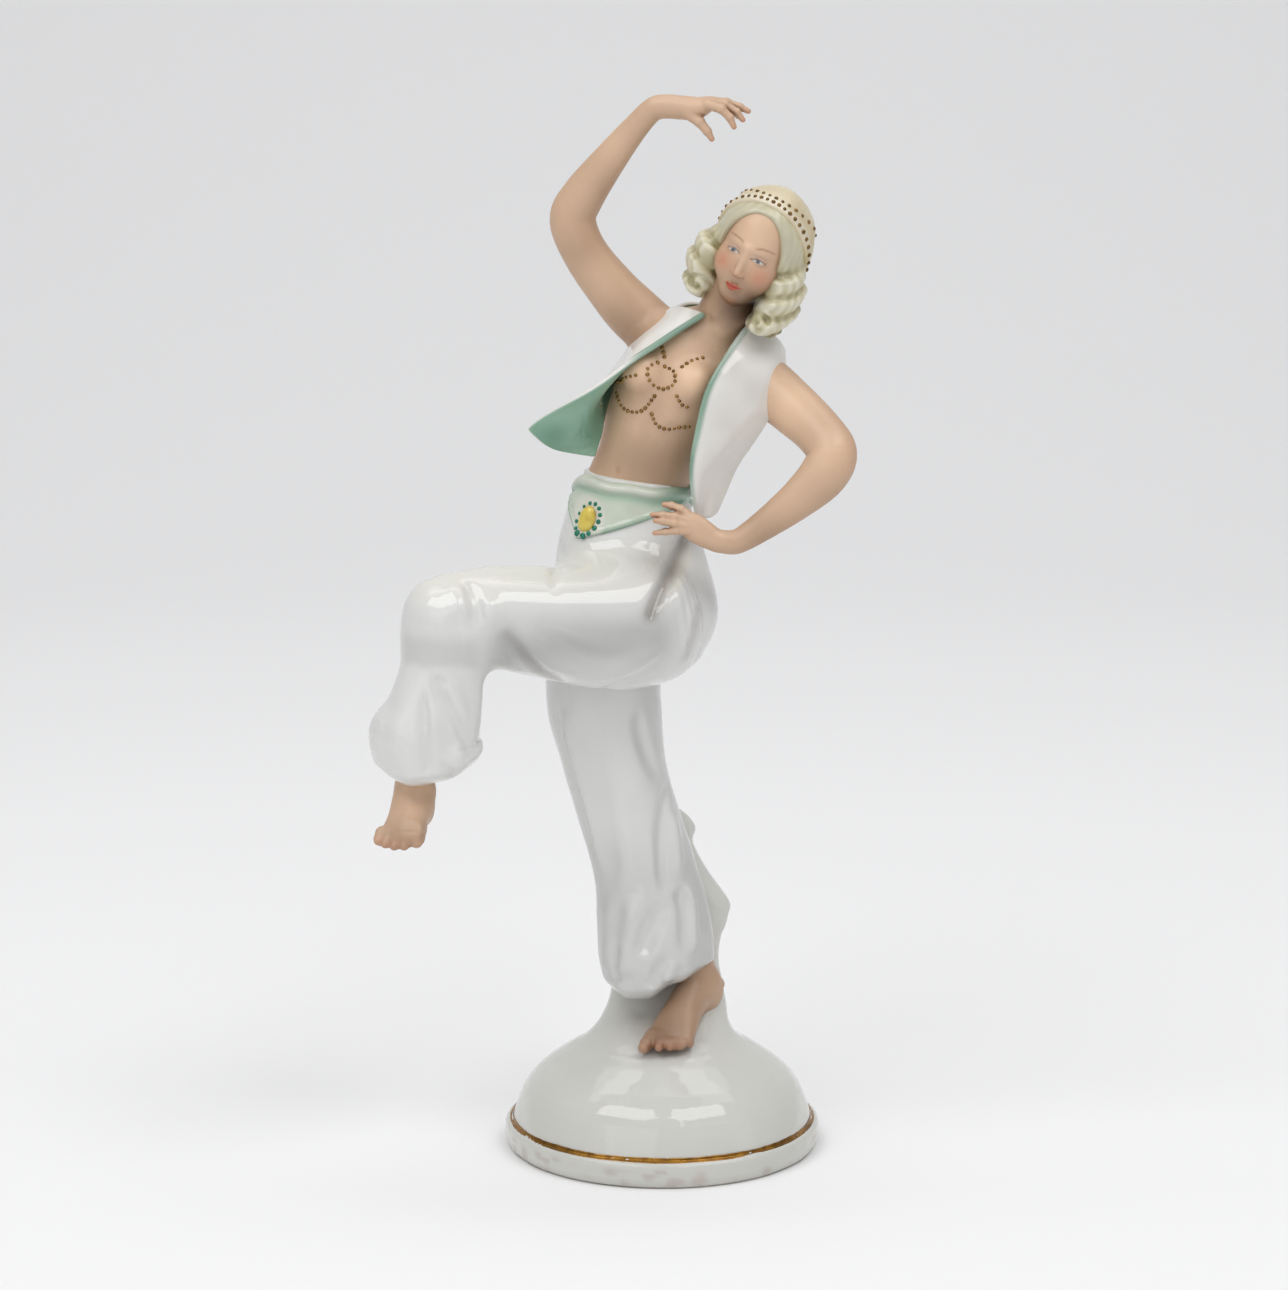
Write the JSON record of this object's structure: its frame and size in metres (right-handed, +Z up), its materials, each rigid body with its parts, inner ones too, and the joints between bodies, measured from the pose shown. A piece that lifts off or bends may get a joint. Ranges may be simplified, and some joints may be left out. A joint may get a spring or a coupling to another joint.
{
  "type": "porcelain dancer figurine",
  "caption": "Slip-cast porcelain dancer in harem trousers and open bolero, one knee raised and one arm overhead, on a round domed foot.",
  "frame": {"origin": "centre of the round foot ring, on the surface the figurine stands on", "axes": "+Z up, -Y the side the chest and face are seen from, +X the figurine's left-arm side"},
  "size_m": [0.1286, 0.0893, 0.2844],
  "materials": {
    "white_glaze": "clear-glazed white porcelain",
    "bisque": "unglazed biscuit porcelain",
    "gilding": "burnished gold line and raised gilt dots",
    "flesh_enamel": "satin airbrushed flesh enamel",
    "mint_glaze": "mint green under gloss glaze, shading to white",
    "yellow_enamel": "gloss yellow enamel",
    "green_enamel": "gloss dark green enamel drops",
    "hair_glaze": "pale ash-blond glaze, darker in the waves",
    "cap_glaze": "satin cream yellow enamel"
  },
  "bodies": {
    "root": {"base_dome": "white_glaze", "base_closing_disc": "bisque", "gilt_line": "gilding", "support_prop": "white_glaze", "standing_foot": "flesh_enamel", "standing_trouser_leg": "white_glaze", "trouser_seat": "white_glaze", "raised_trouser_leg": "white_glaze", "raised_foot": "flesh_enamel", "waist_sash": "mint_glaze", "belt_stone": "yellow_enamel", "belt_stone_beads": "green_enamel", "torso": "flesh_enamel", "vest_back": "white_glaze", "vest_left_front": "white_glaze", "vest_right_front": "mint_glaze", "right_arm": "flesh_enamel", "right_hand": "flesh_enamel", "left_arm": "flesh_enamel", "left_hand": "flesh_enamel", "head": "flesh_enamel", "hair": "hair_glaze", "cap": "cap_glaze", "cap_beads": "gilding", "chest_beads": "gilding"}
  },
  "joints": []
}
